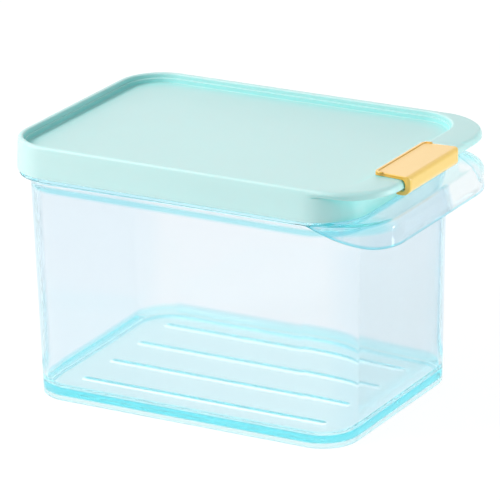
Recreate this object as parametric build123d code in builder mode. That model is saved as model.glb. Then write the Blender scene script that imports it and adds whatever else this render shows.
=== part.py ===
from build123d import *
from math import radians, tan
import os

# A lidded freezer box for milk storage bags: a clear drafted tub with a hollow grip at one end,
# a press-on lid with a shelf above the grip, a seal ring inside the lid, and a clip that hooks
# over the shelf's edge and slides along it.
# Millimetres, +Z up, +X towards the grip, origin in the middle of the tub's foot.

# ---- tub -------------------------------------------------------------------------------------

base_length = 190.6         # outside of the wall where it stands on the table
base_width = 133.0
base_corner = 20.8
wall_draft = 1.375          # degrees, the tub widens upwards
wall = 2.2
foot_height = 2.6           # underside of the floor above the table
foot_wall = 2.6
foot_bevel = 0.8
floor_thickness = 3.2
floor_cove = 5.0            # rounding between the floor and the wall, inside

# shallow channels along the floor, under the bags
channel_count = 4
channel_pitch = 29.2
channel_width = 7.0
channel_end_gap = 19.7      # from the outside of the end wall to the end of a channel
channel_depth = 1.0
channel_slope = 60          # of a channel's sides from the vertical

# shoulder, ledge and rim at the tub's mouth
ledge_height = 127.6        # top of the ledge above the table
ledge_thickness = 2.0
ledge_corner = 25.0
ledge_bevel = 0.6
ledge_lip = 1.1             # ledge beyond the shoulder
shoulder_rise = 4.7
shoulder_flare = 3.6        # how far the wall flares out under the ledge
shoulder_round = 7.0
mouth_rise = 6.0            # height of the flare inside the mouth
rim_wall = 2.2
rim_bevel = 0.6

# hollow grip at the +X end
grip_reach = 18.6           # beyond the ledge
grip_corner = 32.5
grip_wall = 2.0
grip_fold = 4.5             # rounding of its upper edge
grip_inner_bevel = 2.0
grip_drop = 14.2            # from its top to its lower edge
grip_root = 22.1            # where its lower edge leaves the ledge, back from the ledge's end
grip_slope = 19.3           # degrees, the lower edge's slope along the sides
grip_blend = 35.0

# ---- lid -------------------------------------------------------------------------------------

lid_gap = 0.3               # between the skirt's lower edge and the ledge
lid_height = 17.75          # from the skirt's lower edge to the crest
skirt_proud = 1.0           # skirt beyond the ledge
skirt_draft = 2.4           # degrees, the skirt narrows upwards
skirt_wall = 2.2
skirt_clearance = 0.5       # between the skirt and the tub's rim
skirt_bevel = 0.4
crest_width = 3.2
crest_round = 1.2
crest_inner_bevel = 0.8
recess_depth = 5.35
recess_corner = 25.5        # at the shelf's end
recess_end_margin = 2.0     # from the crest's outer edge to the recess, at the shelf's end
recess_draft = 8.0          # degrees
step_depth = 2.6            # of the narrow step in the recess's wall
step_width = 0.8
recess_floor_bevel = 1.2
panel_thickness = 2.2
guide_clearance = 0.8       # between the guide wall and the tub's mouth
guide_wall = 1.6
guide_depth = 7.0

# shelf of the lid, above the grip
shelf_setback = 1.7         # from the grip's end
shelf_corner = 32.0
shelf_plate = 2.2
shelf_edge_height = 4.5
shelf_edge_wall = 2.2
shelf_top_round = 2.5
shelf_inner_bevel = 0.8
shelf_edge_bevel = 0.7

# seal ring
seal_thickness = 2.1
seal_side_gap = 0.15
seal_bevel = 0.5

# ---- edge clip -------------------------------------------------------------------------------

clip_length = 57.0
clip_offset = -10.9         # middle of the clip along the shelf's edge
clip_gap = 0.3              # between the clip and the shelf's edge
clip_wall = 2.9
clip_plate = 2.0
clip_width = 21.1           # across the shelf, from the plate's free edge to the outer face
clip_play = 1.6             # between the hook and the shelf's edge
clip_hook = 2.2
clip_hook_reach = 8.0       # from the outer face to the hook's tip
clip_top_round = 2.2
clip_hook_round = 4.2
clip_inner_round = 1.2
clip_tip_round = 1.0
clip_corner = 3.5
clip_end_round = 2.0
bead_width = 1.6
bead_height = 0.5

# ---- worked-out levels and half sizes --------------------------------------------------------

wall_slope = tan(radians(wall_draft))
skirt_slope = tan(radians(skirt_draft))

floor_top = foot_height + floor_thickness
ledge_under = ledge_height - ledge_thickness
wall_top = ledge_under - shoulder_rise
mouth_under = ledge_height - wall - mouth_rise
grip_bottom = ledge_height - grip_drop

skirt_bottom = ledge_height + lid_gap
crest = skirt_bottom + lid_height
recess_floor = crest - recess_depth
panel_under = recess_floor - panel_thickness
rim_top = panel_under - seal_thickness
shelf_under = crest - shelf_edge_height

ledge_half_length = base_length / 2 + wall_top * wall_slope + shoulder_flare + ledge_lip
ledge_half_width = base_width / 2 + wall_top * wall_slope + shoulder_flare + ledge_lip
skirt_half_length = ledge_half_length + skirt_proud
skirt_half_width = ledge_half_width + skirt_proud
skirt_corner = ledge_corner + skirt_proud

rim_inset = (rim_top - skirt_bottom) * skirt_slope + skirt_wall + skirt_clearance
mouth_inset = rim_inset + rim_wall
guide_inset = mouth_inset + guide_clearance

grip_end = ledge_half_length + grip_reach
shelf_end = grip_end - shelf_setback


def tub_outline(height, inset=0):
    """The tub's wall at a height, or a line that lies inside it."""
    growth = height * wall_slope - inset
    RectangleRounded(base_length + 2 * growth, base_width + 2 * growth, base_corner + growth)


def skirt_outline(inset, mode=Mode.ADD):
    """A line inside the outer edge of the lid's skirt."""
    length = 2 * (skirt_half_length - inset)
    RectangleRounded(length, 2 * (skirt_half_width - inset), skirt_corner - inset, mode=mode)


def end_plan(height, start, end, half_width, start_corner, end_corner):
    """A rectangle at a height, from start to end along X, with a different rounding at each end."""
    with BuildSketch(Plane.XY.offset(height)) as plan:
        with Locations(((start + end) / 2, 0)):
            Rectangle(end - start, 2 * half_width)
        fillet(plan.vertices().group_by(Axis.X)[0], start_corner)
        fillet(plan.vertices().group_by(Axis.X)[-1], end_corner)
    return plan.sketch


def hood(top, height, end, half_width, corner, plate, side_wall, top_round, inner_bevel, edge_bevel=0, draft=0):
    """A plate from the tub's middle to its end, with a wall turned down round that end, open below."""
    bottom = top - height
    back_corner = 2 * top_round
    outer_plan = end_plan(bottom, 0, end, half_width, back_corner, corner)
    inner_plan = end_plan(bottom, 0, end - side_wall, half_width - side_wall, back_corner, corner - side_wall)
    with BuildPart() as hollow:
        extrude(inner_plan, amount=height - plate, taper=draft)
        chamfer(hollow.faces().sort_by(Axis.Z)[-1].edges(), inner_bevel)
    with BuildPart() as shell:
        extrude(outer_plan, amount=height, taper=draft)
        fillet(shell.faces().sort_by(Axis.Z)[-1].edges(), top_round)
        if edge_bevel:
            chamfer(shell.faces().sort_by(Axis.Z)[0].edges(), edge_bevel)
        add(hollow.part, mode=Mode.SUBTRACT)
    return shell.part


# ---- box: the tub with its ledge, rim and grip -----------------------------------------------

with BuildPart() as grip_cut:
    slope_start = ledge_half_length - grip_root
    slope_end = slope_start + (ledge_under - grip_bottom) / tan(radians(grip_slope))
    cut_end = grip_end + grip_blend
    cut_bottom = grip_bottom - grip_drop
    with BuildSketch(Plane.XZ) as cut_side:
        with BuildLine():
            Polyline(
                (-grip_wall, ledge_under),
                (slope_start, ledge_under),
                (slope_end, grip_bottom),
                (cut_end, grip_bottom),
                (cut_end, cut_bottom),
                (-grip_wall, cut_bottom),
                close=True,
            )
        make_face()
        fillet(cut_side.vertices().sort_by_distance((slope_end, grip_bottom))[0], grip_blend)
    extrude(amount=ledge_half_width + grip_wall, both=True)

grip_hood = hood(
    ledge_height, grip_drop, grip_end, ledge_half_width, grip_corner,
    ledge_thickness, grip_wall, grip_fold, grip_inner_bevel,
)

with BuildPart() as grip:
    add(grip_hood)
    add(grip_cut.part, mode=Mode.SUBTRACT)

with BuildPart() as cavity:
    with BuildSketch(Plane.XY.offset(floor_top)):
        tub_outline(floor_top, wall)
    extrude(amount=mouth_under - floor_top, taper=-wall_draft)
    fillet(cavity.faces().sort_by(Axis.Z)[0].edges(), floor_cove)
    with BuildSketch(Plane.XY.offset(mouth_under)):
        tub_outline(mouth_under, wall)
    with BuildSketch(Plane.XY.offset(mouth_under + mouth_rise)):
        skirt_outline(mouth_inset)
    loft()
    with BuildSketch(Plane.XY.offset(mouth_under + mouth_rise)):
        skirt_outline(mouth_inset)
    extrude(amount=rim_top - mouth_under - mouth_rise + rim_bevel)

with BuildPart() as box:
    with BuildSketch():
        tub_outline(0)
    extrude(amount=wall_top, taper=-wall_draft)
    chamfer(box.faces().sort_by(Axis.Z)[0].edges(), foot_bevel)
    with BuildSketch(Plane.XY.offset(wall_top)):
        tub_outline(wall_top)
    with BuildSketch(Plane.XY.offset(ledge_under)):
        tub_outline(wall_top, -shoulder_flare)
    loft()
    shoulder_edges = box.edges().filter_by_position(Axis.Z, wall_top - wall / 2, wall_top + wall / 2)
    fillet(shoulder_edges, shoulder_round)
    # ledge, grip and rim
    with BuildSketch(Plane.XY.offset(ledge_under)):
        Rectangle(2 * ledge_half_length, 2 * ledge_half_width)
        fillet(vertices(), ledge_corner)
    extrude(amount=ledge_thickness)
    chamfer(box.faces().sort_by(Axis.Z)[-1].edges(), ledge_bevel)
    add(grip.part)
    with BuildSketch(Plane.XY.offset(ledge_under)):
        skirt_outline(rim_inset)
    extrude(amount=rim_top - ledge_under)

    # the inside, the recess under the floor and the channels
    add(cavity.part, mode=Mode.SUBTRACT)
    chamfer(box.faces().sort_by(Axis.Z)[-1].edges(), rim_bevel)
    with BuildSketch():
        tub_outline(0, foot_wall)
    extrude(amount=foot_height, mode=Mode.SUBTRACT)
    with BuildSketch(Plane.XY.offset(floor_top)):
        with GridLocations(0, channel_pitch, 1, channel_count):
            SlotOverall(base_length - 2 * channel_end_gap, channel_width)
    extrude(amount=-channel_depth, taper=channel_slope, mode=Mode.SUBTRACT)

box.part.label = "box"


# ---- lid -------------------------------------------------------------------------------------

shelf_half_width = skirt_half_width - (shelf_under - skirt_bottom) * skirt_slope
shelf = hood(
    crest, shelf_edge_height, shelf_end, shelf_half_width, shelf_corner,
    shelf_plate, shelf_edge_wall, shelf_top_round, shelf_inner_bevel, shelf_edge_bevel, skirt_draft,
)
crest_inset = lid_height * skirt_slope
recess_start = -skirt_half_length + crest_inset + crest_width
recess_end = skirt_half_length - crest_inset - recess_end_margin
recess_half_width = skirt_half_width - crest_inset - crest_width
back_corner = skirt_corner - crest_inset - crest_width
step_inset = step_depth * tan(radians(recess_draft)) + step_width
recess_plan = end_plan(crest, recess_start, recess_end, recess_half_width, back_corner, recess_corner)
recess_lower_plan = end_plan(
    crest - step_depth, recess_start + step_inset, recess_end - step_inset,
    recess_half_width - step_inset, back_corner - step_inset, recess_corner - step_inset,
)

with BuildPart() as recess:
    extrude(recess_lower_plan, amount=-(recess_depth - step_depth), taper=recess_draft)
    chamfer(recess.faces().sort_by(Axis.Z)[0].edges(), recess_floor_bevel)
    extrude(recess_plan, amount=-step_depth, taper=recess_draft)

with BuildPart() as lid:
    with BuildSketch(Plane.XY.offset(skirt_bottom)):
        skirt_outline(0)
    extrude(amount=lid_height, taper=skirt_draft)
    fillet(lid.faces().sort_by(Axis.Z)[-1].edges(), crest_round)
    chamfer(lid.faces().sort_by(Axis.Z)[0].edges(), skirt_bevel)
    add(shelf)
    add(recess.part, mode=Mode.SUBTRACT)
    mouth_edges = lid.faces().sort_by(Axis.Z)[-1].inner_wires()[0].edges()
    chamfer(mouth_edges, crest_inner_bevel)
    # the inside of the skirt, and the guide wall that stands in the tub's mouth
    with BuildSketch(Plane.XY.offset(skirt_bottom)):
        skirt_outline(skirt_wall)
    extrude(amount=panel_under - skirt_bottom, taper=skirt_draft, mode=Mode.SUBTRACT)
    with BuildSketch(Plane.XY.offset(panel_under)):
        skirt_outline(guide_inset)
        skirt_outline(guide_inset + guide_wall, Mode.SUBTRACT)
    extrude(amount=-guide_depth)

lid.part.label = "lid"


# ---- seal ring: lies in the channel between the skirt and the guide wall ----------------------

with BuildPart() as lid_seal:
    with BuildSketch(Plane.XY.offset(panel_under)):
        skirt_outline((panel_under - skirt_bottom) * skirt_slope + skirt_wall + seal_side_gap)
        skirt_outline(guide_inset - seal_side_gap, Mode.SUBTRACT)
    extrude(amount=-seal_thickness)
    chamfer(lid_seal.faces().sort_by(Axis.Z)[0].edges(), seal_bevel)

lid_seal.part.label = "lid_seal"


# ---- edge clip: hooks over the shelf's edge --------------------------------------------------

clip_inner = shelf_end + clip_gap
clip_outer = clip_inner + clip_wall
clip_start = clip_outer - clip_width
clip_top = crest + clip_plate
hook_top = shelf_under - clip_play
hook_bottom = hook_top - clip_hook
hook_tip = clip_outer - clip_hook_reach
bead_run = clip_corner + bead_width

with BuildPart() as edge_clip:
    with BuildSketch(Plane.XZ.offset(-clip_offset)) as clip_profile:
        with BuildLine():
            Polyline(
                (clip_start, crest),
                (clip_start, clip_top),
                (clip_outer, clip_top),
                (clip_outer, hook_bottom),
                (hook_tip, hook_bottom),
                (hook_tip, hook_top),
                (clip_inner, hook_top),
                (clip_inner, crest),
                close=True,
            )
        make_face()
        rounds = (
            ((clip_outer, clip_top), clip_top_round),
            ((clip_outer, hook_bottom), clip_hook_round),
            ((hook_tip, hook_bottom), clip_tip_round),
            ((hook_tip, hook_top), clip_tip_round),
            ((clip_inner, hook_top), clip_inner_round),
            ((clip_inner, crest), clip_inner_round),
        )
        for corner, radius in rounds:
            fillet(clip_profile.vertices().sort_by_distance(corner)[0], radius)
    extrude(amount=clip_length / 2, both=True)
    with BuildSketch(Plane.XY.offset(hook_bottom)) as clip_plan:
        with Locations(((clip_start + clip_outer) / 2, clip_offset)):
            Rectangle(clip_width, clip_length)
        fillet(clip_plan.vertices().group_by(Axis.X)[0], clip_corner)
        fillet(clip_plan.vertices().group_by(Axis.X)[-1], clip_end_round)
    extrude(amount=clip_top - hook_bottom, mode=Mode.INTERSECT)
    # a thin raised bead along the plate's free edge, turned round its two corners
    with BuildSketch(Plane.XY.offset(clip_top)) as bead:
        with Locations((clip_start + bead_run / 2, clip_offset)):
            Rectangle(bead_run, clip_length)
        fillet(bead.vertices().group_by(Axis.X)[0], clip_corner)
        with Locations((clip_start + bead_width + bead_run / 2, clip_offset)):
            Rectangle(bead_run, clip_length - 2 * bead_width, mode=Mode.SUBTRACT)
        bead_inside = clip_start + bead_width
        inner_corners = bead.vertices().filter_by_position(
            Axis.X, bead_inside - bead_height, bead_inside + bead_height
        )
        fillet(inner_corners, clip_corner - bead_width)
    extrude(amount=bead_height)

edge_clip.part.label = "edge_clip"


# ---- files -----------------------------------------------------------------------------------

os.makedirs("parts", exist_ok=True)
for piece in (box, lid, lid_seal, edge_clip):
    export_step(piece.part, f"parts/{piece.part.label}.step")
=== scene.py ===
import math

import bpy
import numpy as np
from mathutils import Matrix, Vector


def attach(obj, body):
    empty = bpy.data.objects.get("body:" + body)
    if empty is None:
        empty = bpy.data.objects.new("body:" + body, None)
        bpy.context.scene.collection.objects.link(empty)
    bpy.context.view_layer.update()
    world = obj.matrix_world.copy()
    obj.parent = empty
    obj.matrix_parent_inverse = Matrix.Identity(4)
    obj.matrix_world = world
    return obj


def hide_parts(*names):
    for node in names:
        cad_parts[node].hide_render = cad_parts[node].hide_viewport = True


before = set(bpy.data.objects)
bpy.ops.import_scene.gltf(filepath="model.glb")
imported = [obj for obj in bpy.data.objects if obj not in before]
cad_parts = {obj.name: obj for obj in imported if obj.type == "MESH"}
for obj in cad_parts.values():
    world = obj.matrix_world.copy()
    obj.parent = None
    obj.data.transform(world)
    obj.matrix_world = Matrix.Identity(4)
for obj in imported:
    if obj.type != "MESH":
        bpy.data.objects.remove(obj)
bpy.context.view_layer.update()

scene = bpy.context.scene


# ---- Box --------------------------------------------------------------------------------------
# The tub is one injection moulding of clear styrene plastic with a faint cyan dye: drafted walls on a
# foot ring, four channels in the floor, a shoulder and a ledge at the mouth, the rim that the lid presses
# over, and a hollow grip at one end.  Its skin is one closed surface, a profile carried round the tub.

MM = 0.001                          # sizes are in millimetres up to the studio, and a mesh is in metres
LAP = 2.0                           # how far a profile runs on past its last corner, over a flat

FOOT_HALF_LENGTH, FOOT_HALF_WIDTH, FOOT_CORNER = 95.3, 66.5, 20.8
WALL, WALL_SLOPE = 2.2, math.tan(math.radians(1.375))
FOOT_HEIGHT, FOOT_WALL = 2.6, 2.6
FOOT_ROOT_ROUND, FOOT_INNER_ROUND, FOOT_OUTER_ROUND = 0.6, 0.7, 1.0
FLOOR_TOP, COVE = 5.8, 5.0
SHOULDER_HEIGHT, SHOULDER_FLARE, SHOULDER_ROUND = 120.9, 3.6, 7.0
LEDGE_UNDER, LEDGE_TOP, LEDGE_ROOT_ROUND, LEDGE_EDGE_ROUND = 125.6, 127.6, 0.5, 0.8
LEDGE_HALF_LENGTH, LEDGE_HALF_WIDTH, LEDGE_CORNER = 102.9, 74.1, 25.0
LEDGE_LAP = 0.9                     # how far the ledge's underside runs on before its edge takes over
RIM_TOP, RIM_INSET, RIM_WALL = 136.0, 2.04, 2.2
RIM_ROOT_ROUND, RIM_TOP_ROUND = 0.4, 0.8
MOUTH_BOTTOM, MOUTH_RISE = 119.4, 6.0
GRIP_END, GRIP_CORNER, GRIP_WALL = 121.5, 32.5, 2.0
GRIP_BOTTOM, GRIP_ROOT, GRIP_SLOPE, GRIP_BLEND = 113.4, 80.8, 0.35, 35.0
GRIP_FOLD, FOLD_START, FOLD_RUN, FOLD_HOLD = 4.5, 74.0, 18.0, 0.15
EDGE_FLAT = 0.7                     # least height that the fold leaves of the edge below it
INNER_FOLD, INNER_FOLD_LEAST, GRIP_THINNING, GRIP_LIP = 3.2, 0.05, 0.6, 0.3
FOLD_SHARE, THINNING_SHARE, LIP_SHARE = 0.45, 0.2, 0.5      # of the drop, where the grip is still low
CHANNEL_HALF_WIDTH, CHANNEL_HALF_LENGTH, CHANNEL_DEPTH, CHANNEL_PITCH = 3.5, 75.6, 0.6, 29.2
CHANNEL_MIDDLES = (np.arange(4) - 1.5) * CHANNEL_PITCH
SHEET_HALF_LENGTH, SHEET_HALF_WIDTH = 80.0, 54.0
SPLIT_X, SPLIT_Y = 69.0, 40.5       # up to these lines every outline runs straight
GAP_HALF_WIDTH = 9.5                # the middle strip between channels that gets grid lines of its own
CHANNEL_LINES, GAP_LINES, EDGE_LINES = 21, 5, 18            # grid lines over each part of the width
STRAIGHT_LINES, CORNER_LINES = 15, 34                       # and of half the length


def sheet_lines():
    """Grid lines across the tub, close together where the floor's channels are."""
    near = np.linspace(-1.05, 1.05, CHANNEL_LINES) * CHANNEL_HALF_WIDTH
    gap = np.linspace(-GAP_HALF_WIDTH, GAP_HALF_WIDTH, GAP_LINES)
    edge = np.linspace(CHANNEL_MIDDLES[-1] + 4.0, SHEET_HALF_WIDTH, EDGE_LINES)
    over_channels = [middle + near for middle in CHANNEL_MIDDLES]
    y = np.concatenate([*over_channels, gap, [-SPLIT_Y, SPLIT_Y], edge, -edge])
    x = np.concatenate([
        np.linspace(0, SPLIT_X, STRAIGHT_LINES), np.linspace(SPLIT_X, SHEET_HALF_LENGTH, CORNER_LINES),
    ])
    return np.unique(np.round(np.concatenate([x, -x]), 3)), np.unique(np.round(y, 3))


SHEET_X, SHEET_Y = sheet_lines()


def sheet_border():
    """The border of the sheet's grid as one closed loop of line numbers, counterclockwise from above."""
    last_x, last_y = len(SHEET_X) - 1, len(SHEET_Y) - 1
    up_x, up_y = np.arange(last_x), np.arange(last_y)
    i = np.concatenate([up_x, np.full(last_y, last_x), last_x - up_x, np.zeros(last_y, int)])
    j = np.concatenate([np.zeros(last_x, int), up_y, np.full(last_x, last_y), last_y - up_y])
    return i, j


BORDER_I, BORDER_J = sheet_border()


def outline(start, end, half_width, start_corner, end_corner):
    """Points and outward directions of a rounded rectangle from start to end along X, one for each point of
    the sheet's border.  Up to the split lines a point keeps the border's own x or y.  Past them the points
    are spread evenly over the rest of the side and half of the corner's arc."""
    x, y = SHEET_X[BORDER_I], SHEET_Y[BORDER_J]
    along_x = np.abs(y) >= SHEET_HALF_WIDTH - 1e-6
    sx, sy = np.where(x < 0, -1.0, 1.0), np.where(y < 0, -1.0, 1.0)
    corner = np.where(sx < 0, start_corner, end_corner)
    reach = np.where(sx < 0, -start, end)
    side = np.where(along_x, reach, half_width) - corner
    split = np.where(along_x, SPLIT_X, SPLIT_Y)
    border = np.where(along_x, np.abs(x), np.abs(y))
    border_end = np.where(along_x, SHEET_HALF_LENGTH, SHEET_HALF_WIDTH)
    share = np.clip((border - split) / (border_end - split), 0, 1)
    travel = share * (side - split + corner * math.pi / 4)
    straight = np.minimum(border, split) + np.minimum(travel, side - split)
    angle = np.maximum(travel - (side - split), 0) / corner
    sine, cosine = np.sin(angle), np.cos(angle)
    first = straight + corner * sine
    second = np.where(along_x, half_width, reach) - corner + corner * cosine
    points = np.where(along_x, [sx * first, sy * second], [sx * second, sy * first]).T
    outward = np.where(along_x, [sx * sine, sy * cosine], [sx * cosine, sy * sine]).T
    return points, outward


def ring(base, offset, height):
    """One row of a skin: an outline moved outwards by offset, at a height.  Both may vary round the loop."""
    points, outward = base
    flat = points + outward * np.broadcast_to(offset, len(points))[:, None]
    return np.column_stack([flat, np.broadcast_to(height, len(points))])


def rounded(corners, steps=7, hold=0.15):
    """A profile of (offset, height, radius) corners.  Each corner becomes an arc tangent to both its sides,
    with a point held just outside each end of the arc, at most nine tenths of the way to the next corner,
    so that the flats stay flat.  A corner of radius 0 is a plain point, and a caller that leaves out the
    first one only wants the direction that it gives.  The last corner's next one is the first."""
    made = []
    count = len(corners)
    for k, (across, height, radius) in enumerate(corners):
        here = np.array([across, height])
        if radius == 0:
            made.append(here[None])
            continue
        before = np.array(corners[k - 1][:2]) - here
        after = np.array(corners[(k + 1) % count][:2]) - here
        farthest = 0.9 * min(np.linalg.norm(before), np.linalg.norm(after))
        before, after = before / np.linalg.norm(before), after / np.linalg.norm(after)
        half = math.acos(np.clip(before @ after, -1, 1)) / 2
        tangent = radius / math.tan(half)
        middle = here + (before + after) / np.linalg.norm(before + after) * radius / math.sin(half)
        first, last = here + before * tangent - middle, here + after * tangent - middle
        turn = math.pi - 2 * half
        t = np.linspace(0, 1, steps)[:, None]
        arc = middle + (np.sin((1 - t) * turn) * first + np.sin(t * turn) * last) / math.sin(turn)
        ends = [here + side * min(tangent + hold, farthest) for side in (before, after)]
        made += [ends[0][None], arc, ends[1][None]]
    return np.concatenate(made)


def quarter_turn(count):
    """Angles from 0 to a quarter turn."""
    return np.linspace(0, math.pi / 2, count)


def smooth_step(value):
    """0 up to 0, 1 from 1, and an S curve between."""
    value = np.clip(value, 0, 1)
    return value * value * (3 - 2 * value)


def make_piece(name, vertices, faces):
    """A smooth-shaded object at the origin, from vertices in millimetres and faces."""
    mesh = bpy.data.meshes.new(name)
    mesh.from_pydata((vertices * MM).tolist(), [], faces)
    mesh.polygons.foreach_set("use_smooth", np.ones(len(mesh.polygons), bool))
    mesh.update()
    piece = bpy.data.objects.new(name, mesh)
    scene.collection.objects.link(piece)
    return piece


def row_faces(count, loop):
    """The four-sided faces that join each of count rows, closed loops of points, to the next row."""
    columns = np.arange(loop)
    following = (columns + 1) % loop
    lower = (np.arange(count - 1) * loop)[:, None]
    upper = lower + loop
    quads = np.stack([lower + columns, lower + following, upper + following, upper + columns], -1)
    return quads.reshape(-1, 4)


def skin(name, rows, under_height, top_height):
    """A closed mesh from rows of rings.  A sheet over the floor's grid closes the first row from below and
    another closes the last row from above, each with one height or a height for every grid point."""
    rings = np.stack(rows)
    count, loop = rings.shape[:2]
    columns = np.arange(loop)
    following = (columns + 1) % loop
    nx, ny = len(SHEET_X), len(SHEET_Y)
    x, y = np.meshgrid(SHEET_X, SHEET_Y, indexing="ij")
    vertices, faces = [rings.reshape(-1, 3)], [row_faces(count, loop)]
    first = count * loop
    for edge, heights, under in ((0, under_height, True), ((count - 1) * loop, top_height, False)):
        grid = np.arange(nx * ny).reshape(nx, ny) + first
        vertices.append(np.stack([x, y, np.broadcast_to(heights, x.shape)], -1).reshape(-1, 3))
        border = grid[BORDER_I, BORDER_J]
        quads = np.stack([grid[:-1, :-1], grid[1:, :-1], grid[1:, 1:], grid[:-1, 1:]], -1).reshape(-1, 4)
        belt = np.stack([edge + columns, edge + following, border[following], border[columns]], -1)
        faces += [quads[:, ::-1] if under else quads, belt[:, ::-1] if under else belt]
        first += nx * ny
    return make_piece(name, np.concatenate(vertices), np.concatenate(faces).tolist())


def grip_lower_edge(x):
    """Height of the grip's lower edge: level with the ledge's underside up to the root, then a straight
    slope, then an arc that runs out level."""
    angle = math.atan(GRIP_SLOPE)
    level_x = GRIP_ROOT + (LEDGE_UNDER - GRIP_BOTTOM) / GRIP_SLOPE + GRIP_BLEND * math.tan(angle / 2)
    arc_run = GRIP_BLEND * math.sin(angle)
    slope = LEDGE_UNDER - GRIP_SLOPE * np.maximum(x - GRIP_ROOT, 0)
    arc = GRIP_BOTTOM + GRIP_BLEND - np.sqrt(GRIP_BLEND ** 2 - np.clip(level_x - x, 0, arc_run) ** 2)
    return np.where(x < level_x - arc_run, slope, arc)


def box_rows():
    """The tub's profile, from the underside of the floor round the foot, up the outside to the ledge, round
    the ledge's edge, which turns down into the grip, over the rim and down the inside to the floor."""
    foot = outline(-FOOT_HALF_LENGTH, FOOT_HALF_LENGTH, FOOT_HALF_WIDTH, FOOT_CORNER, FOOT_CORNER)
    edge = outline(-LEDGE_HALF_LENGTH, GRIP_END, LEDGE_HALF_WIDTH, LEDGE_CORNER, GRIP_CORNER)
    mouth = outline(-LEDGE_HALF_LENGTH, LEDGE_HALF_LENGTH, LEDGE_HALF_WIDTH, LEDGE_CORNER, LEDGE_CORNER)
    shoulder = SHOULDER_HEIGHT * WALL_SLOPE
    flared = shoulder + SHOULDER_FLARE
    rows = [ring(foot, a, z) for a, z in rounded([
        (-FOOT_WALL - LAP, FOOT_HEIGHT, 0), (-FOOT_WALL, FOOT_HEIGHT, FOOT_ROOT_ROUND),
        (-FOOT_WALL, 0, FOOT_INNER_ROUND), (0, 0, FOOT_OUTER_ROUND),
        (shoulder, SHOULDER_HEIGHT, SHOULDER_ROUND), (flared, LEDGE_UNDER, LEDGE_ROOT_ROUND),
        (flared + LEDGE_LAP, LEDGE_UNDER, 0),
    ], steps=8)]

    # inside the grip, round its lip, up its outside and over the fold; away from it, the ledge's own edge
    x = edge[0][:, 0]
    low = grip_lower_edge(x)
    drop = LEDGE_UNDER - low
    fold = LEDGE_EDGE_ROUND + (GRIP_FOLD - LEDGE_EDGE_ROUND) * smooth_step((x - FOLD_START) / FOLD_RUN)
    fold = np.minimum(fold, LEDGE_TOP - low - EDGE_FLAT)
    inner_fold = np.minimum(INNER_FOLD, drop * FOLD_SHARE) + INNER_FOLD_LEAST
    thin = np.minimum(GRIP_THINNING, drop * THINNING_SHARE)
    rise = np.minimum(GRIP_LIP, drop * LIP_SHARE)
    lip_arc = [(1 - math.cos(t), 1 - math.sin(t)) for t in quarter_turn(6)]
    fold_arc = [(1 - math.cos(t), 1 - math.sin(t)) for t in quarter_turn(9)]
    rows += [
        ring(edge, -GRIP_WALL - inner_fold * over, LEDGE_UNDER - inner_fold * down * np.minimum(drop, 1))
        for down, over in lip_arc
    ]
    rows += [ring(edge, -GRIP_WALL + thin + GRIP_LIP * over, low + rise * up) for over, up in lip_arc]
    rows += [ring(edge, -GRIP_LIP * over, low + GRIP_LIP * up) for up, over in lip_arc]
    rows += [ring(edge, -fold * over, LEDGE_TOP - fold * down) for over, down in fold_arc]
    rows.append(ring(edge, -fold - FOLD_HOLD, LEDGE_TOP))

    rim = RIM_INSET + RIM_WALL
    rows += [ring(mouth, a, z) for a, z in rounded([
        (-RIM_INSET + 1, LEDGE_TOP, 0), (-RIM_INSET, LEDGE_TOP, RIM_ROOT_ROUND),
        (-RIM_INSET, RIM_TOP, RIM_TOP_ROUND), (-rim, RIM_TOP, RIM_TOP_ROUND),
        (-rim, MOUTH_BOTTOM + MOUTH_RISE, 0),
    ])[1:]]
    upper = ring(mouth, -rim, MOUTH_BOTTOM + MOUTH_RISE)
    lower = ring(foot, MOUTH_BOTTOM * WALL_SLOPE - WALL, MOUTH_BOTTOM)
    for t in np.linspace(0.1, 0.9, 9):
        flare = upper + (lower - upper) * smooth_step(t)
        flare[:, 2] = MOUTH_BOTTOM + MOUTH_RISE * (1 - t)
        rows.append(flare)
    inset = FLOOR_TOP * WALL_SLOPE - WALL
    inside = rounded([
        (MOUTH_BOTTOM * WALL_SLOPE - WALL, MOUTH_BOTTOM, 0), (inset, FLOOR_TOP, COVE),
        (inset - COVE - LAP, FLOOR_TOP, 0),
    ], steps=10)
    return rows + [ring(foot, a, z) for a, z in inside]


def floor_heights():
    """Height of the floor inside: flat, and lowered in an S curve towards the middle line of each channel."""
    x, y = np.meshgrid(SHEET_X, SHEET_Y, indexing="ij")
    past_end = np.maximum(np.abs(x) - (CHANNEL_HALF_LENGTH - CHANNEL_HALF_WIDTH), 0)
    from_line = np.hypot(past_end, np.abs(y[..., None] - CHANNEL_MIDDLES).min(-1))
    return FLOOR_TOP - CHANNEL_DEPTH * smooth_step(1 - from_line / CHANNEL_HALF_WIDTH)


def linear(code):
    """An sRGB hex colour as linear RGBA: the sRGB curve undone, channel by channel."""
    rgb = np.array([int(code[i:i + 2], 16) for i in (0, 2, 4)]) / 255.0
    rgb = np.where(rgb <= 0.04045, rgb / 12.92, ((rgb + 0.055) / 1.055) ** 2.4)
    return (*rgb.tolist(), 1.0)


def new_material(name):
    """An empty node material, for one real finish."""
    material = bpy.data.materials.new(name)
    material.use_nodes = True
    material.node_tree.nodes.clear()
    return material, material.node_tree


def add_node(tree, kind, inputs=None, **settings):
    """Adds a node with its settings.  An input given as another node's output is linked, any other is set."""
    made = tree.nodes.new(kind)
    for key, value in settings.items():
        setattr(made, key, value)
    for socket, value in (inputs or {}).items():
        if isinstance(value, bpy.types.NodeSocket):
            tree.links.new(value, made.inputs[socket])
        else:
            made.inputs[socket].default_value = value
    return made


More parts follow.
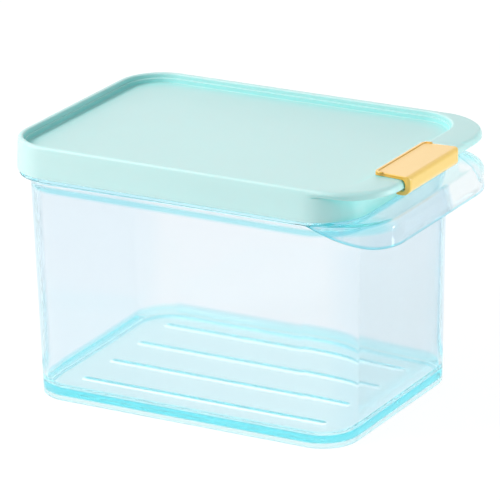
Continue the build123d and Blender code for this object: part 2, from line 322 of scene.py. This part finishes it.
def zone(tree, *parts):
    """How far a place belongs to a zone: the product of its parts.  A part is a share from 0 to 1, or a
    ramp (value, start, end) that is 0 up to its start and 1 from its end, with a straight line between."""
    share = None
    for part in parts:
        if isinstance(part, tuple):
            limits = dict(zip(("Value", "From Min", "From Max"), part))
            part = add_node(tree, "ShaderNodeMapRange", limits).outputs[0]
        if share is not None:
            part = add_node(tree, "ShaderNodeMath", {0: share, 1: part}, operation="MULTIPLY").outputs[0]
        share = part
    return share


def layered(tree, colour, layers):
    """A colour with others laid over it in turn, each given as (its share, the colour, how it is laid)."""
    for share, over, way in layers:
        inputs = {"Factor": share, "A": colour, "B": over}
        colour = add_node(tree, "ShaderNodeMix", inputs, data_type="RGBA", blend_type=way).outputs["Result"]
    return colour


def height_colours(tree, height, stops):
    """Colours that change with the height above the table, given as (height, hex colour)."""
    full = stops[-1][0]
    share = zone(tree, (height, 0, full))
    ramp = add_node(tree, "ShaderNodeValToRGB", {"Fac": share})
    ramp.color_ramp.elements.remove(ramp.color_ramp.elements[0])
    for k, (level, colour) in enumerate(stops):
        stop = ramp.color_ramp.elements[0] if k == 0 else ramp.color_ramp.elements.new(level / full)
        stop.position = level / full
        stop.color = linear(colour)
    return ramp.outputs["Color"]


# Styrene plastic from a polished mould, with a trace of cyan dye.  To the eye a wall is almost colourless,
# the floor, the ledge and the folds are deeper cyan because they are thick or seen edge on, and light comes
# out at the edges.  The dye's own absorption is slight, so the deeper cyan of the thick places and the light
# at their edges are painted in by height and place as well, partly the dye's own colour and partly painted
# light and shade.  Its IOR is below styrene's own 1.57 or so, because a higher one makes the walls' outlines
# wobble.
CLEAR_IOR, FOOT_ROUGHNESS, WALL_ROUGHNESS = 1.42, 0.1, 0.06
CLEAR_HAZE = 0.05                   # share of light that the plastic scatters
DYE_DENSITY = 12.0                  # per metre
LINE_GLOW, LINE_GLOW_SHARE = 1.35, 0.75
TRAPPED_FIRST, TRAPPED_LAST = 3, 7  # steps of a ray over which it turns to the plastic's own colour
WHITE = (1.0, 1.0, 1.0, 1.0)
PALE, LIGHT, CYAN, DEEP, BAND = "fdfcfe", "e7fcfe", "cefafe", "bcf7fd", "bcf1f7"

clear, tree = new_material("clear styrene plastic")
place = add_node(tree, "ShaderNodeTexCoord").outputs["Object"]
spot = add_node(tree, "ShaderNodeVectorMath", {0: place, "Scale": 1 / MM}, operation="SCALE")
x, y, z = add_node(tree, "ShaderNodeSeparateXYZ", {0: spot.outputs[0]}).outputs
sides = add_node(tree, "ShaderNodeVectorMath", {0: spot.outputs[0]}, operation="ABSOLUTE")
along, aside = add_node(tree, "ShaderNodeSeparateXYZ", {0: sides.outputs[0]}).outputs[:2]
slant = add_node(tree, "ShaderNodeLayerWeight", {"Blend": 0.5}).outputs["Facing"]

# a painted cyan glow where the floor's edge shows outside, a little way up the wall
outside = add_node(tree, "ShaderNodeMath", {
    0: zone(tree, (aside, FOOT_HALF_WIDTH - 1, FOOT_HALF_WIDTH - 0.2)),
    1: zone(tree, (along, FOOT_HALF_LENGTH - 1, FOOT_HALF_LENGTH - 0.2)),
}, operation="MAXIMUM").outputs[0]
painted_floor_glow = zone(tree, outside, (z, 7.4, 8.2), (z, 10.8, 9.4))
# painted in each channel: cyan shade, and a pale highlight line that lies a little towards -Y from its middle
across = add_node(tree, "ShaderNodeMath", {0: y, 1: CHANNEL_PITCH, 2: 0.0}, operation="WRAP").outputs[0]
middle = CHANNEL_PITCH / 2
in_channel = zone(
    tree, (z, FLOOR_TOP - 0.01, FLOOR_TOP - 0.1), (z, FOOT_HEIGHT + 0.4, FOOT_HEIGHT + 0.6),
    (along, SHEET_HALF_LENGTH, SHEET_HALF_LENGTH - 1),
)
painted_highlight_line = zone(tree, in_channel, (across, middle - 2.4, middle - 1.4), (across, middle + 1.5, middle + 0.7))
# painted light: high on both end walls, level with the grip, the walls are lightened almost to white
painted_pale_strip = zone(tree, (z, 108, 114), (z, 119, 117.6), (along, 86, 94))
# painted by height: the deeper cyan bands at the floor, under the shoulder and at the ledge are partly the
# thick plastic's own colour and partly painted light and shade
tub_colour = height_colours(tree, z, [
    (0, "ddf8fa"), (2.4, "eafcfd"), (5.9, "effeff"), (6.2, CYAN), (7.9, CYAN), (9.0, LIGHT),
    (10.4, PALE), (117.6, PALE), (119.0, BAND), (121.4, BAND), (123.0, PALE), (125.7, PALE),
    (126.2, DEEP), (127.7, DEEP), (136.0, "e1fafe"),
])
tub_colour = layered(tree, tub_colour, [
    (painted_floor_glow, linear("d1f0f7"), "MULTIPLY"),
    (in_channel, linear("cbf9fc"), "MIX"),
    (painted_highlight_line, WHITE, "MIX"),
    # painted shade: the end walls are darkened, and so are all walls seen at a slant
    (zone(tree, (along, 86, 97)), linear("f3f9fc"), "MULTIPLY"),
    (zone(tree, (slant, 0.45, 0.95), (z, 10, 16)), linear("eaf5f9"), "MULTIPLY"),
    (painted_pale_strip, linear("fdfeff"), "MIX"),
])

# the grip is everything past the walls' outer faces at that end: pale, with painted cyan shade in its folded
# corners
off_wall = add_node(tree, "ShaderNodeMath", {
    0: zone(tree, (aside, 70, 70.6)), 1: zone(tree, (x, 100, 101)),
}, operation="MAXIMUM").outputs[0]
painted_fold_cyan = zone(tree, (aside, 46, 58), (z, 121.4, 123.4))
# a painted cyan line of shade follows the lid's skirt on the grip's top, at one distance from the centre of
# the mouth's corner, whose height here is above everything, so that only the distance in plan counts
centre = (LEDGE_HALF_LENGTH - LEDGE_CORNER, LEDGE_HALF_WIDTH - LEDGE_CORNER, 2 * RIM_TOP)
past = add_node(tree, "ShaderNodeVectorMath", {0: sides.outputs[0], 1: centre}, operation="SUBTRACT")
past = add_node(tree, "ShaderNodeVectorMath", {0: past.outputs[0], 1: (0, 0, 0)}, operation="MAXIMUM")
past = add_node(tree, "ShaderNodeVectorMath", {0: past.outputs[0]}, operation="LENGTH")
painted_skirt_shade = zone(tree, (past.outputs["Value"], 29, 27), (z, 124.2, 125.2))
grip_colour = layered(tree, linear("f9fcfd"), [
    (painted_fold_cyan, linear("d1fdff"), "MIX"),
    (painted_skirt_shade, linear("dafdff"), "MIX"),
])
# and another painted cyan line of shade follows the grip's lower edge
slope_line = add_node(tree, "ShaderNodeMath", {
    0: x, 1: -GRIP_SLOPE, 2: LEDGE_UNDER + GRIP_SLOPE * GRIP_ROOT,
}, operation="MULTIPLY_ADD").outputs[0]
lower_edge = add_node(tree, "ShaderNodeMath", {
    0: slope_line, 1: GRIP_BOTTOM, 2: 2.4,
}, operation="SMOOTH_MAX").outputs[0]
above_edge = add_node(tree, "ShaderNodeMath", {0: z, 1: lower_edge}, operation="SUBTRACT").outputs[0]
tub_colour = layered(tree, tub_colour, [
    (zone(tree, off_wall, (x, 84, 94)), grip_colour, "MIX"),
    (zone(tree, off_wall, (above_edge, -0.8, -0.2), (above_edge, 1.6, 1.0)), linear("b3f0f7"), "MIX"),
])

# the walls are polished, the foot less so
roughness = add_node(tree, "ShaderNodeMapRange", {
    "Value": z, "From Min": 8.0, "From Max": 14.0, "To Min": FOOT_ROUGHNESS, "To Max": WALL_ROUGHNESS,
}).outputs[0]
surface = add_node(tree, "ShaderNodeBsdfPrincipled", {
    "Base Color": tub_colour, "Roughness": roughness, "IOR": CLEAR_IOR, "Transmission Weight": 1.0,
}).outputs[0]
haze = add_node(tree, "ShaderNodeBsdfTranslucent", {"Color": linear("e1f8ff")}).outputs[0]
surface = add_node(tree, "ShaderNodeMixShader", {0: CLEAR_HAZE, 1: surface, 2: haze}).outputs[0]
# the painted highlight lines also glow, giving light of their own towards the tub's inside, because the lamps
# alone leave them dull
glow = add_node(tree, "ShaderNodeEmission", {"Color": linear("f3fffe"), "Strength": LINE_GLOW}).outputs[0]
from_plastic = add_node(tree, "ShaderNodeNewGeometry").outputs["Backfacing"]
from_air = add_node(tree, "ShaderNodeMapRange", {
    "Value": from_plastic, "To Min": LINE_GLOW_SHARE, "To Max": 0.0,
}).outputs[0]
glow_share = zone(tree, painted_highlight_line, from_air)
surface = add_node(tree, "ShaderNodeMixShader", {0: glow_share, 1: surface, 2: glow}).outputs[0]
# a painted glow: light that stays trapped in the plastic takes on the dye's own colour, which stands in for
# its last steps
trapped_colour = height_colours(tree, z, [
    (0, "92f6ff"), (9, "92f6ff"), (13, "dcecf6"), (116, "dcecf6"), (119, "a4f0fa"), (136, "a4f0fa"),
])
trapped = add_node(tree, "ShaderNodeEmission", {"Color": trapped_colour, "Strength": 1.0}).outputs[0]
depth = add_node(tree, "ShaderNodeLightPath").outputs["Ray Depth"]
trapped_share = zone(tree, (depth, TRAPPED_FIRST, TRAPPED_LAST))
surface = add_node(tree, "ShaderNodeMixShader", {0: trapped_share, 1: surface, 2: trapped}).outputs[0]
# where a wall turns edge on it looks like a smooth pale veil
edge_on = zone(tree, (slant, 0.5, 0.75), (z, 12, 20), (z, 119, 116))
veil = add_node(tree, "ShaderNodeBsdfTransparent", {"Color": linear("f5f8fb")}).outputs[0]
surface = add_node(tree, "ShaderNodeMixShader", {0: edge_on, 1: surface, 2: veil}).outputs[0]
dye = add_node(tree, "ShaderNodeVolumeAbsorption", {"Color": linear("95f9fe"), "Density": DYE_DENSITY})
add_node(tree, "ShaderNodeOutputMaterial", {"Surface": surface, "Volume": dye.outputs[0]})

tub = skin("clear_tub", box_rows(), FOOT_HEIGHT, floor_heights())
tub.data.materials.append(clear)
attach(tub, "box")
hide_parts("box")


# ---- Lid --------------------------------------------------------------------------------------
# One injection moulding of opaque mint polypropylene, pressed down over the tub's rim: a skirt, a crest
# round a recessed panel, a guide wall under it and a shelf with a down-turned edge above the grip.

SKIRT_HALF_LENGTH, SKIRT_HALF_WIDTH, SKIRT_CORNER = 103.9, 75.1, 26.0
SKIRT_BOTTOM, SKIRT_WALL, SKIRT_SLOPE = 127.9, 2.2, math.tan(math.radians(2.4))
SKIRT_ROUND, CHANNEL_ROUND = 0.5, 0.4
CREST, CREST_ROUND = 145.65, 1.8
PANEL_UNDER, GUIDE_BOTTOM, GUIDE_INSET, GUIDE_WALL = 138.1, 131.1, 6.04, 1.6
GUIDE_ROOT_ROUND, GUIDE_ROUND = 0.5, 0.6
RECESS_FLOOR, RECESS_SLOPE = 140.3, math.tan(math.radians(8))
RECESS_START, RECESS_END, RECESS_HALF_WIDTH = -99.96, 101.16, 71.16
RECESS_BACK_CORNER, RECESS_FRONT_CORNER = 22.06, 25.5
RECESS_TOP_ROUND, RECESS_FOOT_ROUND, RECESS_LAP = 1.1, 0.8, 3.0
STEP_DEPTH, STEP_WIDTH, STEP_ROUND = 2.6, 0.8, 0.3
SHELF_END, SHELF_CORNER, SHELF_UNDER, SHELF_PLATE_UNDER = 119.8, 32.0, 141.15, 143.45
SHELF_WALL, SHELF_ROUND = 2.2, 2.5
SHELF_EDGE_ROUNDS = (0.8, 0.5, 0.7)                         # under the plate, inside the edge, outside it
SHELF_FILLET = ((0.05, 0.9), (0.3, 0.3), (0.9, 0.0))        # out from the skirt, down from the plate
SHELF_DRAFT = 0.56                  # what the skirt's draft takes off the shelf at its lower edge
SHELF_MEETING, SHELF_EDGE_RUN = 0.8, 1.6    # how far below and above its lower edge the shelf's rows run
SHELF_SPREAD, CREST_SPREAD = 7.0, 0.5       # reach of the shelf over which its rows part from the skirt


def lid_rows():
    """The lid's profile, from the panel's underside round the guide wall and the seal's channel, down inside
    the skirt and up its outside, out along the shelf's underside and round its edge, over the crest and down
    the stepped wall of the recess.  Away from the shelf the shelf's rows lie close together on the skirt."""
    skirt = outline(-SKIRT_HALF_LENGTH, SKIRT_HALF_LENGTH, SKIRT_HALF_WIDTH, SKIRT_CORNER, SKIRT_CORNER)
    shelf_end, shelf_corner = SHELF_END + SHELF_DRAFT, SHELF_CORNER + SHELF_DRAFT
    shelf = outline(-SKIRT_HALF_LENGTH, shelf_end, SKIRT_HALF_WIDTH, SKIRT_CORNER, shelf_corner)
    recess = outline(RECESS_START, RECESS_END, RECESS_HALF_WIDTH, RECESS_BACK_CORNER, RECESS_FRONT_CORNER)

    def draft(z):
        """How far the skirt's outer face lies outside its line at the bottom: less and less as it rises."""
        return (SKIRT_BOTTOM - z) * SKIRT_SLOPE

    guide = -GUIDE_INSET - GUIDE_WALL
    meeting, parted = SHELF_UNDER - SHELF_MEETING, SHELF_UNDER + SHELF_EDGE_RUN
    rows = [ring(skirt, a, z) for a, z in rounded([
        (guide - LAP, PANEL_UNDER, 0), (guide, PANEL_UNDER, GUIDE_ROOT_ROUND),
        (guide, GUIDE_BOTTOM, GUIDE_ROUND), (-GUIDE_INSET, GUIDE_BOTTOM, GUIDE_ROUND),
        (-GUIDE_INSET, PANEL_UNDER, CHANNEL_ROUND),
        (draft(PANEL_UNDER) - SKIRT_WALL, PANEL_UNDER, CHANNEL_ROUND),
        (-SKIRT_WALL, SKIRT_BOTTOM, SKIRT_ROUND), (0, SKIRT_BOTTOM, SKIRT_ROUND),
        (draft(meeting), meeting, 0),
    ])]

    reach = ((shelf[0] - skirt[0]) * shelf[1]).sum(1)
    clear_of_skirt = smooth_step(reach / SHELF_SPREAD)[:, None]
    under = SHELF_PLATE_UNDER
    plate, inside, outside = SHELF_EDGE_ROUNDS
    shelf_rows = [ring(skirt, draft(under) + out, under - down) for out, down in SHELF_FILLET]
    shelf_rows += [ring(shelf, draft(z) + a, z) for a, z in rounded([
        (-SHELF_WALL - LAP, under, 0), (-SHELF_WALL, under, plate), (-SHELF_WALL, SHELF_UNDER, inside),
        (0, SHELF_UNDER, outside), (0, parted, 0),
    ])[1:]]
    for k, row in enumerate(shelf_rows):
        z = meeting + (parted - meeting) * (k + 1) / len(shelf_rows)
        flush = ring(skirt, draft(z), z)
        rows.append(flush + (row - flush) * clear_of_skirt)
    top_round = CREST_ROUND + (SHELF_ROUND - CREST_ROUND) * clear_of_skirt[:, 0]
    clear_of_crest = np.maximum(clear_of_skirt, smooth_step(reach / CREST_SPREAD)[:, None])
    for t in quarter_turn(9):
        a, z = draft(CREST) - top_round * (1 - math.cos(t)), CREST - top_round * (1 - math.sin(t))
        flush, out = ring(skirt, a, z), ring(shelf, a, z)
        rows.append(flush + (out - flush) * clear_of_crest)

    step = CREST - STEP_DEPTH
    above = -STEP_DEPTH * RECESS_SLOPE
    below = above - STEP_WIDTH
    foot = below - (step - RECESS_FLOOR) * RECESS_SLOPE
    return rows + [ring(recess, a, z) for a, z in rounded([
        (1.5, CREST, 0), (0, CREST, RECESS_TOP_ROUND), (above, step, STEP_ROUND), (below, step, STEP_ROUND),
        (foot, RECESS_FLOOR, RECESS_FOOT_ROUND), (foot - RECESS_LAP, RECESS_FLOOR, 0),
    ], hold=0.08)[1:]]


def painted_corner_shade(tree, colour, deep, distance):
    """Painted shade in corners: where light comes off walls of the same plastic all round, the colour is made
    deeper.
    """
    corner = add_node(tree, "ShaderNodeAmbientOcclusion", {"Distance": distance * MM}, samples=8)
    return layered(tree, colour, [(zone(tree, (corner.outputs["AO"], 0.97, 0.45)), deep, "MIX")])


# Polypropylene from a spark-eroded mould: satin, with a faint mottle from the melt's flow and a soft depth
# where light enters.  The real texture's grain is nearer 0.1 mm, and is drawn as coarse as it needs to show.
MOTTLE_SIZE, GRAIN_SIZE, GRAIN_HEIGHT = 28.6, 0.714, 0.03
MINT_DEPTH = 4.0                    # how deep light enters
MINT_CORNER = 12.0                  # how near another wall has to be for the painted shade to deepen the colour

mint, tree = new_material("satin mint polypropylene")
place = add_node(tree, "ShaderNodeTexCoord").outputs["Object"]
mottle, grain = (
    add_node(tree, "ShaderNodeTexNoise", {"Vector": place, "Scale": 1 / (size * MM), "Detail": detail})
    for size, detail in ((MOTTLE_SIZE, 3.0), (GRAIN_SIZE, 2.0))
)
mint_colour = layered(tree, linear("c3dfdd"), [(mottle.outputs["Fac"], linear("c6e2e0"), "MIX")])
# painted shade: the mint is deepened to teal in corners and recesses
mint_colour = painted_corner_shade(tree, mint_colour, linear("95e7e5"), MINT_CORNER)
gloss = add_node(tree, "ShaderNodeMapRange", {"Value": mottle.outputs["Fac"], "To Min": 0.4, "To Max": 0.46})
bump = add_node(tree, "ShaderNodeBump", {
    "Height": grain.outputs["Fac"], "Strength": 0.25, "Distance": GRAIN_HEIGHT * MM,
})
surface = add_node(tree, "ShaderNodeBsdfPrincipled", {
    "Base Color": mint_colour, "Roughness": gloss.outputs[0], "Normal": bump.outputs[0],
    "Specular IOR Level": 0.4, "Subsurface Weight": 0.35, "Subsurface Radius": (0.5, 1.0, 1.0),
    "Subsurface Scale": MINT_DEPTH * MM,
})
add_node(tree, "ShaderNodeOutputMaterial", {"Surface": surface.outputs[0]})

lid = skin("mint_lid", lid_rows(), PANEL_UNDER, RECESS_FLOOR)
lid.data.materials.append(mint)
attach(lid, "lid")
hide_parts("lid")


# ---- Lid seal ---------------------------------------------------------------------------------
# A milky silicone ring, moulded flat and pushed into the channel between the skirt and the guide wall,
# where the tub's rim presses against it.

# Silicone rubber, cloudy and dull with a soft skin.  Its cloudiness varies slowly along the ring.
CLOUD_SIZE, SILICONE_DEPTH = 8.33, 2.0

milky, tree = new_material("milky silicone")
place = add_node(tree, "ShaderNodeTexCoord").outputs["Object"]
cloud = add_node(tree, "ShaderNodeTexNoise", {"Vector": place, "Scale": 1 / (CLOUD_SIZE * MM), "Detail": 3.0})
milky_colour = layered(tree, linear("e6eeee"), [(cloud.outputs["Fac"], linear("f4f8f8"), "MIX")])
surface = add_node(tree, "ShaderNodeBsdfPrincipled", {
    "Base Color": milky_colour, "Roughness": 0.5, "Subsurface Weight": 0.3,
    "Subsurface Scale": SILICONE_DEPTH * MM,
})
add_node(tree, "ShaderNodeOutputMaterial", {"Surface": surface.outputs[0]})
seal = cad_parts["lid_seal"]
seal.data.materials.clear()
seal.data.materials.append(milky)


# ---- Edge clip --------------------------------------------------------------------------------
# A separate moulding of glossy yellow ABS.  Its plate lies on the shelf with a raised bead along the free
# edge, and it turns down round the shelf's edge and back under it, so it holds by its own spring.

CLIP_START, CLIP_OUTER, CLIP_INNER, CLIP_TOP = 101.9, 123.0, 120.1, 147.65
HOOK_TOP, HOOK_BOTTOM, HOOK_TIP = 139.55, 137.35, 115.0
PLATE_UNDER_ROUND, PLATE_TOP_ROUND, TIP_ROUND = 0.4, 0.6, 0.9
OUTER_TOP_ROUND, OUTER_BOTTOM_ROUND, INNER_BOTTOM_ROUND, INNER_TOP_ROUND = 2.4, 4.2, 1.6, 2.2
CLIP_MIDDLE, CLIP_HALF_LENGTH, CLIP_CORNER, CLIP_END_ROUND = -10.9, 28.5, 3.5, 2.6
CLIP_EDGE, CLIP_END_MARGIN = 0.4, 0.1
CLIP_ROWS, CLIP_ROWS_SHARE = 14, 0.96       # rows between the ends, and the share of the length they take
BEAD_WIDTH, BEAD_HEIGHT, BEAD_SUNK, BEAD_ROUND = 1.6, 0.5, 0.3, 0.4


def tube(rows):
    """Vertices and faces of a tube: rows of closed loops, with one face over each end."""
    count, loop = rows.shape[:2]
    ends = [np.arange(loop)[::-1].tolist(), (np.arange(loop) + (count - 1) * loop).tolist()]
    return rows.reshape(-1, 3), row_faces(count, loop).tolist() + ends


def clip_rows():
    """The clip's C-shaped profile, a closed loop of (x, z), carried along Y.  A plan with rounded corners
    cuts each profile point's run short near the free edge and the outer face, and in the last rows at each
    end the profile shrinks along its own normals by a quarter circle, which rounds the end's edges."""
    profile = rounded([
        (CLIP_START, CREST, PLATE_UNDER_ROUND), (CLIP_START, CLIP_TOP, PLATE_TOP_ROUND),
        (CLIP_OUTER, CLIP_TOP, OUTER_TOP_ROUND), (CLIP_OUTER, HOOK_BOTTOM, OUTER_BOTTOM_ROUND),
        (HOOK_TIP, HOOK_BOTTOM, TIP_ROUND), (HOOK_TIP, HOOK_TOP, TIP_ROUND),
        (CLIP_INNER, HOOK_TOP, INNER_BOTTOM_ROUND), (CLIP_INNER, CREST, INNER_TOP_ROUND),
    ], steps=9, hold=0.3)[::-1]
    along = np.roll(profile, -1, 0) - np.roll(profile, 1, 0)
    normal = np.stack([along[:, 1], -along[:, 0]], 1) / np.linalg.norm(along, axis=1)[:, None]
    turn = quarter_turn(5)
    end_shrink = np.concatenate([[CLIP_EDGE + CLIP_END_MARGIN], CLIP_EDGE * (1 - np.sin(turn))])
    end_back = np.concatenate([[0], CLIP_EDGE * (1 - np.cos(turn))])
    ones, none = np.ones(len(end_back)), np.zeros(CLIP_ROWS)
    shrink = np.concatenate([end_shrink, none, end_shrink[::-1]])
    back = np.concatenate([end_back, none, -end_back[::-1]])
    run = np.concatenate([-ones, np.linspace(-CLIP_ROWS_SHARE, CLIP_ROWS_SHARE, CLIP_ROWS), ones])
    section = profile[None] + normal[None] * -shrink[:, None, None]
    start_gap = np.clip(CLIP_CORNER - (section[..., 0] - CLIP_START), 0, CLIP_CORNER)
    end_gap = np.clip(CLIP_END_ROUND - (CLIP_OUTER - section[..., 0]), 0, CLIP_END_ROUND)
    short = CLIP_CORNER - np.sqrt(CLIP_CORNER ** 2 - start_gap ** 2)
    short = short + CLIP_END_ROUND - np.sqrt(CLIP_END_ROUND ** 2 - end_gap ** 2)
    y = CLIP_MIDDLE + run[:, None] * (CLIP_HALF_LENGTH - short) + back[:, None]
    return np.stack([section[..., 0], y, section[..., 1]], -1)


def bead_rows(profile):
    """The bead: a profile of (sideways, height) carried along the plate's free edge, with a quarter turn at
    each corner and a short run towards the shelf's edge."""
    t = quarter_turn(9)
    across = np.concatenate([[[0, -1]], np.stack([-np.sin(t), -np.cos(t)], 1)])
    radius = CLIP_CORNER - BEAD_WIDTH / 2
    path = [CLIP_START + CLIP_CORNER, CLIP_MIDDLE - CLIP_HALF_LENGTH + CLIP_CORNER] + radius * across
    path[0, 0] += BEAD_WIDTH
    path = np.concatenate([path, path[::-1] * [1, -1] + [0, 2 * CLIP_MIDDLE]])
    across = np.concatenate([across, across[::-1] * [1, -1]])
    flat = path[:, None] + across[:, None] * profile[None, :, :1]
    height = np.broadcast_to(profile[None, :, 1:], (*flat.shape[:2], 1))
    return np.concatenate([flat, height], -1)


# ABS from a polished mould: glossy, with a slight orange peel in its highlights and a warm, deep colour.
PEEL_SIZE, PEEL_HEIGHT = 3.33, 0.1
YELLOW_CORNER = 5.0                 # how near another wall has to be for the painted shade to deepen the colour

yellow, tree = new_material("glossy yellow ABS")
place = add_node(tree, "ShaderNodeTexCoord").outputs["Object"]
peel = add_node(tree, "ShaderNodeTexNoise", {"Vector": place, "Scale": 1 / (PEEL_SIZE * MM), "Detail": 2.0})
yellow_colour = layered(tree, linear("fdc448"), [(peel.outputs["Fac"], linear("fec850"), "MIX")])
# painted shade: the yellow is deepened to orange in corners
yellow_colour = painted_corner_shade(tree, yellow_colour, linear("ffb521"), YELLOW_CORNER)
bump = add_node(tree, "ShaderNodeBump", {
    "Height": peel.outputs["Fac"], "Strength": 0.2, "Distance": PEEL_HEIGHT * MM,
})
surface = add_node(tree, "ShaderNodeBsdfPrincipled", {
    "Base Color": yellow_colour, "Normal": bump.outputs[0], "Roughness": 0.28, "Coat Weight": 1.0,
    "Coat Roughness": 0.25,
})
add_node(tree, "ShaderNodeOutputMaterial", {"Surface": surface.outputs[0]})

body_vertices, body_faces = tube(clip_rows())
bead_vertices, bead_faces = tube(bead_rows(rounded([
    (-BEAD_WIDTH / 2, CLIP_TOP - BEAD_SUNK, 0), (-BEAD_WIDTH / 2, CLIP_TOP + BEAD_HEIGHT, BEAD_ROUND),
    (BEAD_WIDTH / 2, CLIP_TOP + BEAD_HEIGHT, BEAD_ROUND), (BEAD_WIDTH / 2, CLIP_TOP - BEAD_SUNK, 0),
], hold=0.05)))
clip = make_piece(
    "yellow_clip", np.concatenate([body_vertices, bead_vertices]),
    body_faces + [[k + len(body_vertices) for k in face] for face in bead_faces],
)
clip.data.materials.append(yellow)
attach(clip, "clip")
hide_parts("edge_clip")


# ---- Studio -----------------------------------------------------------------------------------
# A white table in a room that is white on its bright side and a dim teal on the other, a window on the
# left, a weak one on the right and one behind.  The camera sees white all round, and the clear edges
# catch the teal.  The studio's own sizes and places are in metres.

ROOM_LIGHT, ROOM_DIM_SIDE = 0.85, "008184"
BRIGHT_SIDE, DIM_END, BRIGHT_END = (-0.8, -0.1, 0.55), -0.7, 0.9    # where the room is bright, and how fast
TABLE_HALF = 6.0
TABLE_PAINT = "f3f3f3"
TABLE_LIGHT = 1.07
TABLE_SHADOW = 0.12                 # how much of the table's shading shows, the rest is plain white
TABLE_GLOW = 0.6                    # how much of the light that it gives back is the same all over
PAINTED_POOL_TINT, TINT_START, TINT_END = "bceff0", -0.05, 0.25    # a painted pool of cyan light from the table, for the light that the clear tub tints as it crosses
BOUNCES, CLEAR_LAYERS = 32, 16      # many, because light crosses the clear walls again and again


def seen_directly(tree):
    """1 for what the camera sees, itself or through or on the object, and 0 for light that falls on it."""
    ray = add_node(tree, "ShaderNodeLightPath").outputs
    seen = ray["Is Camera Ray"]
    for kind in ("Is Transmission Ray", "Is Glossy Ray"):
        seen = add_node(tree, "ShaderNodeMath", {0: seen, 1: ray[kind]}, operation="MAXIMUM").outputs[0]
    return seen


scene.view_settings.view_transform = "Standard"
scene.cycles.use_denoising = True
scene.cycles.max_bounces = BOUNCES
scene.cycles.transmission_bounces = BOUNCES
scene.cycles.glossy_bounces = BOUNCES
scene.cycles.transparent_max_bounces = CLEAR_LAYERS

world = bpy.data.worlds.new("white room")
scene.world = world
world.use_nodes = True
tree = world.node_tree
tree.nodes.clear()
direction = add_node(tree, "ShaderNodeTexCoord").outputs["Generated"]
facing = add_node(tree, "ShaderNodeVectorMath", {0: direction, 1: BRIGHT_SIDE}, operation="DOT_PRODUCT")
bright = zone(tree, (facing.outputs["Value"], DIM_END, BRIGHT_END))
room_colour = layered(tree, linear(ROOM_DIM_SIDE), [(bright, WHITE, "MIX")])
room = add_node(tree, "ShaderNodeBackground", {"Color": room_colour, "Strength": ROOM_LIGHT}).outputs[0]
backdrop = add_node(tree, "ShaderNodeBackground", {"Color": WHITE, "Strength": 1.0}).outputs[0]
shown = add_node(tree, "ShaderNodeMixShader", {0: seen_directly(tree), 1: room, 2: backdrop}).outputs[0]
add_node(tree, "ShaderNodeOutputWorld", {"Surface": shown})

# Matt white paint.  To the eye it is a plain white ground with only a breath of the object's shadow.
painted, tree = new_material("white painted table")
paint = add_node(tree, "ShaderNodeBsdfDiffuse", {"Color": linear(TABLE_PAINT)}).outputs[0]
place = add_node(tree, "ShaderNodeTexCoord").outputs["Object"]
table_x = add_node(tree, "ShaderNodeSeparateXYZ", {0: place}).outputs["X"]
seen = seen_directly(tree)
# painted light: the light that the table gives back turns cyan towards its +X side
glow_colour = layered(tree, WHITE, [
    (zone(tree, (table_x, TINT_START, TINT_END)), linear(PAINTED_POOL_TINT), "MIX"), (seen, WHITE, "MIX"),
])
plain_white = add_node(tree, "ShaderNodeEmission", {"Color": glow_colour, "Strength": TABLE_LIGHT}).outputs[0]
plain_share = add_node(tree, "ShaderNodeMapRange", {
    "Value": seen, "To Min": TABLE_GLOW, "To Max": 1 - TABLE_SHADOW,
}).outputs[0]
shown = add_node(tree, "ShaderNodeMixShader", {0: plain_share, 1: paint, 2: plain_white}).outputs[0]
add_node(tree, "ShaderNodeOutputMaterial", {"Surface": shown})

table_mesh = bpy.data.meshes.new("table")
table_corners = [(x * TABLE_HALF, y * TABLE_HALF, 0) for x, y in ((-1, -1), (1, -1), (1, 1), (-1, 1))]
table_mesh.from_pydata(table_corners, [], [(0, 1, 2, 3)])
table_mesh.materials.append(painted)
table = bpy.data.objects.new("table", table_mesh)
scene.collection.objects.link(table)


def add_lamp(name, place, aim, size, power):
    """A round area lamp that points from its place at what it lights."""
    data = bpy.data.lights.new(name, "AREA")
    data.shape = "DISK"
    data.size = size
    data.energy = power
    lamp = bpy.data.objects.new(name, data)
    lamp.location = place
    lamp.rotation_euler = (Vector(aim) - Vector(place)).to_track_quat("-Z", "Y").to_euler()
    scene.collection.objects.link(lamp)


OBJECT_MIDDLE, GRIP_MIDDLE = (0, 0, 0.09), (0.1, 0, 0.1)
add_lamp("left window", (-1.0, -0.92, 1.25), OBJECT_MIDDLE, size=0.7, power=20.0)
add_lamp("right reflector", (1.2, 0.45, 0.12), GRIP_MIDDLE, size=0.12, power=8.0)
add_lamp("back window", (-0.8, 1.5, 0.28), (0, 0, 0), size=0.3, power=0.6)

CAMERA_AZIMUTH, CAMERA_ELEVATION, CAMERA_ROLL = (math.radians(v) for v in (29.757, 19.316, -1.122))
CAMERA_DISTANCE = 2.33054
CAMERA_ACROSS, CAMERA_UP = 0.00359, 0.0726      # how far the view's middle lies off the origin
CAMERA_LENS, CAMERA_SENSOR = 309.008, 36.0      # millimetres

back = Vector((
    math.sin(CAMERA_AZIMUTH) * math.cos(CAMERA_ELEVATION),
    -math.cos(CAMERA_AZIMUTH) * math.cos(CAMERA_ELEVATION),
    math.sin(CAMERA_ELEVATION),
))
level = Vector((math.cos(CAMERA_AZIMUTH), math.sin(CAMERA_AZIMUTH), 0))
upright = back.cross(level)
right = math.cos(CAMERA_ROLL) * level + math.sin(CAMERA_ROLL) * upright
up = math.cos(CAMERA_ROLL) * upright - math.sin(CAMERA_ROLL) * level
camera_data = bpy.data.cameras.new("camera")
camera_data.sensor_width = CAMERA_SENSOR
camera_data.lens = CAMERA_LENS
camera = bpy.data.objects.new("camera", camera_data)
camera.matrix_world = Matrix.Translation(
    CAMERA_DISTANCE * back + CAMERA_ACROSS * right + CAMERA_UP * up
) @ Matrix((right, up, back)).transposed().to_4x4()
scene.collection.objects.link(camera)
scene.camera = camera
